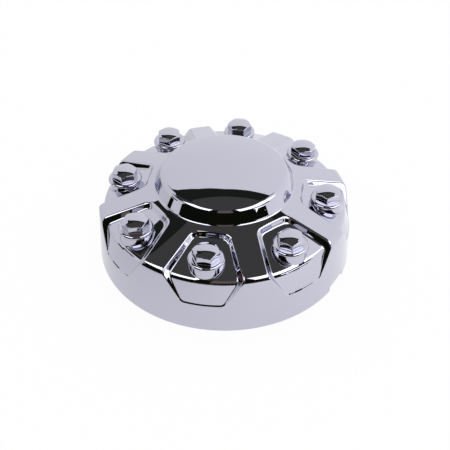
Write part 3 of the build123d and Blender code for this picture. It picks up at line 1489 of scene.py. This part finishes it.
@dataclass(frozen=True)
class WindowPanel:
    """Curved panel that fills a window of directions seen from the cap.

    Azimuths run to the right from the direction away from the camera.
    """

    name: str
    tone: Tone
    azimuths: Span
    elevations: Span
    distance: float = 2.4


CEILING = (
    LevelPanel("ceiling", Tone.GREY, (
        (-0.95, -0.45), (0.95, -0.45), (0.95, 0.05), (0.58, 0.25), (0.58, 0.475),
        (-0.3, 0.475), (-0.3, 0.38), (-0.9, 0.38), (-0.95, 0.3),
    )),
    LevelPanel("ceiling_edge", Tone.EDGE, (
        (-0.3, 0.38), (-0.3, 0.475), (0.6, 0.475), (0.68, 0.605), (0.47, 0.612), (0.0, 0.604), (-0.25, 0.645),
        (-0.48, 0.73), (-0.63, 0.87), (-0.72, 0.94), (-0.71, 0.78), (-0.62, 0.56), (-0.7, 0.5), (-0.9, 0.38),
    )),
    LevelPanel("ceiling_front", Tone.DIM, ((-0.95, -0.8), (0.95, -0.8), (0.95, -0.45), (-0.95, -0.45))),
)

# The near panels stand close to the cap, where the pads' sides see more of them than the dome does
WINDOWS = (
    WindowPanel("front_low", Tone.BLACK, (133.0, 250.0), (-1.0, 53.0)),
    WindowPanel("front_foot", Tone.BROWN, (150.0, 205.0), (-1.0, 8.0), 2.3),
    WindowPanel("front_warm", Tone.WARM, (166.0, 192.0), (24.0, 60.0), 1.1),
    WindowPanel("corner_right", Tone.BLACK, (118.0, 133.0), (-1.0, 16.0)),
    WindowPanel("corner_slit", Tone.LAMP, (118.0, 133.0), (16.0, 22.5)),
    WindowPanel("right_low", Tone.BLACK, (100.0, 133.0), (22.5, 34.0)),
    WindowPanel("near_right", Tone.BLACK, (117.0, 134.0), (3.5, 10.5), 0.33),
    WindowPanel("near_slit", Tone.LAMP, (117.0, 134.0), (10.5, 14.5), 0.33),
    WindowPanel("left_high", Tone.BLACK, (250.0, 286.0), (33.0, 60.0)),
    WindowPanel("side_left", Tone.BLACK, (260.0, 273.0), (7.0, 18.0)),
    WindowPanel("near_left", Tone.BLACK, (261.5, 268.5), (-2.4, 4.0), 0.35),
    WindowPanel("near_rust", Tone.RUST, (261.5, 268.5), (-7.5, -2.4), 0.35),
    WindowPanel("window_left", Tone.LAMP, (246.0, 250.0), (0.0, 4.0), 1.2),
    WindowPanel("window_right", Tone.LAMP, (125.0, 131.0), (4.0, 9.0), 1.2),
    WindowPanel("lamp_left", Tone.LAMP, (207.0, 262.0), (40.5, 61.0), 1.1),
    WindowPanel("lamp_right", Tone.LAMP, (78.0, 155.0), (34.0, 61.0), 1.1),
)


@dataclass
class Studio:
    """White table, pale surround, and the panels and lamps that the chrome mirrors."""

    camera: PhotoCamera
    table_half: float = 6.0
    table_drop: float = 0.0002
    table_colour: Colour = (0.9, 0.9, 0.9, 1.0)
    table_glow: float = 0.95
    table_span: float = 0.16
    # Strengths of the table's glow in reflections, on the left and on the right: painted light, brighter on
    # the right
    table_levels: Span = (0.84, 1.14)
    surround_span: float = 0.8
    surround_levels: Span = (0.93, 1.12)
    ceiling_height: float = 1.6
    ceiling_base: float = 0.055
    window_centre: float = 0.05
    window_rows: int = 13
    window_columns: int = 25

    def strength(self, bench: NodeBench, place: str, span: float, levels: Span) -> bpy.types.NodeSocket:
        """Strength that grows from the camera's left to its right; the camera itself sees plain white. On the
        table's glow this growth is painted light; on the surround it is the scene's light.

        Args:
            bench: Bench of the finish's nodes.
            place: Texture coordinate that the strength follows.
            span: Offset to the right at which it is full.
            levels: Strengths on the left and on the right.

        Returns:
            The strength.
        """
        right = (*self.camera.heading(1.0, 0.0), 0.0)
        where = bench.add("ShaderNodeTexCoord", {}).outputs[place]
        lean = bench.add("ShaderNodeVectorMath", {0: where, 1: right}, "DOT_PRODUCT").outputs["Value"]
        level = bench.spread(lean, (-span, span), levels)
        seen = bench.add("ShaderNodeLightPath", {}).outputs["Is Camera Ray"]
        return bench.add("ShaderNodeMix", {"Factor": seen, "A": level, "B": 1.0}).outputs["Result"]

    def paper(self) -> bpy.types.Material:
        """White table finish that keeps the shadow; reflections see it glow, with painted light that grows
        brighter to the right.

        Returns:
            The new material.
        """
        made = new_material("table_paper")
        made.node_tree.nodes.clear()
        bench = NodeBench(made.node_tree)
        path = bench.add("ShaderNodeLightPath", {})
        seen = path.outputs["Is Camera Ray"]
        for ray in ("Is Glossy Ray", "Is Transmission Ray"):
            seen = bench.add("ShaderNodeMath", {0: seen, 1: path.outputs[ray]}, "MAXIMUM").outputs[0]
        share = bench.add("ShaderNodeMath", {0: seen, 1: self.table_glow}, "MULTIPLY").outputs[0]
        matt = bench.add("ShaderNodeBsdfDiffuse", {"Color": self.table_colour}).outputs[0]
        # Painted light: the glow that reflections see grows brighter to the right
        level = self.strength(bench, "Object", self.table_span, self.table_levels)
        glow = bench.add("ShaderNodeEmission", {"Color": WHITE, "Strength": level}).outputs[0]
        mix = bench.add("ShaderNodeMixShader", {"Fac": share, 1: matt, 2: glow}).outputs[0]
        bench.add("ShaderNodeOutputMaterial", {"Surface": mix})
        return made

    def surround(self) -> None:
        """Light the scene with a pale surround, a little brighter on the right."""
        world = bpy.data.worlds.new("surround")
        world.use_nodes = True
        bench = NodeBench(world.node_tree)
        level = self.strength(bench, "Generated", self.surround_span, self.surround_levels)
        bench.plug(world.node_tree.nodes["Background"], {"Color": WHITE, "Strength": level})
        bpy.context.scene.world = world

    @staticmethod
    def panel_finish(tone: Tone) -> bpy.types.Material:
        """Plain glowing or dark finish for a panel.

        Args:
            tone: Its colour and strength.

        Returns:
            The new material.
        """
        colour, strength = tone.value
        made = new_material(f"{tone.name.lower()}_panel")
        made.node_tree.nodes.clear()
        bench = NodeBench(made.node_tree)
        glow = bench.add("ShaderNodeEmission", {"Color": (*colour, 1.0), "Strength": strength})
        bench.add("ShaderNodeOutputMaterial", {"Surface": glow.outputs[0]})
        return made

    def hang_level(self, panel: LevelPanel) -> bpy.types.Object:
        """Hang a level panel overhead.

        Args:
            panel: The panel.

        Returns:
            The new object.
        """
        height = self.ceiling_height
        verts = [
            (*self.camera.heading(right * height, away * height), self.ceiling_base + height)
            for right, away in panel.corners
        ]
        return add_mesh_object(panel.name, verts, [tuple(range(len(verts)))])

    def hang_window(self, panel: WindowPanel) -> bpy.types.Object:
        """Hang a curved panel in its window of directions.

        Args:
            panel: The panel.

        Returns:
            The new object.
        """
        rows, columns = self.window_rows, self.window_columns
        verts: List[Tuple[float, float, float]] = []
        for el in np.radians(np.linspace(*panel.elevations, rows)):
            reach = panel.distance * math.cos(el)
            height = self.window_centre + panel.distance * math.sin(el)
            for az in np.radians(np.linspace(*panel.azimuths, columns)):
                verts.append((*self.camera.heading(reach * math.sin(az), reach * math.cos(az)), height))
        return add_mesh_object(panel.name, verts, grid_quads(rows, columns, False).tolist())

    def table(self) -> None:
        """Lay the white table just under the rim."""
        half = self.table_half
        corners = [(-half, -half, 0.0), (half, -half, 0.0), (half, half, 0.0), (-half, half, 0.0)]
        table = add_mesh_object("table", corners, [(0, 1, 2, 3)])
        table.data.materials.append(self.paper())
        table.location = (0.0, 0.0, -self.table_drop)

    def build(self) -> None:
        """Set up the table, the surround and the panels, which only reflections see."""
        self.table()
        self.surround()
        finishes = {tone: self.panel_finish(tone) for tone in Tone}
        hung = [(panel.tone, self.hang_level(panel)) for panel in CEILING]
        hung += [(panel.tone, self.hang_window(panel)) for panel in WINDOWS]
        for tone, panel in hung:
            panel.data.materials.append(finishes[tone])
            panel.visible_camera = False
            panel.visible_shadow = False
            panel.visible_diffuse = False


def main() -> None:
    """Build the cap, the studio and the camera."""
    logging.basicConfig(level=logging.INFO)
    bpy.context.scene.view_settings.view_transform = "Standard"
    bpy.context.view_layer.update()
    section = CapSection()
    pad = PadRecess(section)
    shell = CapShell(section, pad, DummyNut(), PushSocket(pad))
    finishes = [ChromePlate().material(), BackPlate().material()]
    parts = {"cap_face": shell.face(), "cap_nuts": shell.nuts(), "cap_back": shell.back()}
    for name, sheets in parts.items():
        piece = CapPiece(name, sheets)
        piece.dress(piece.build(finishes))
    camera = PhotoCamera()
    Studio(camera).build()
    camera.build()


if __name__ == "__main__":
    main()
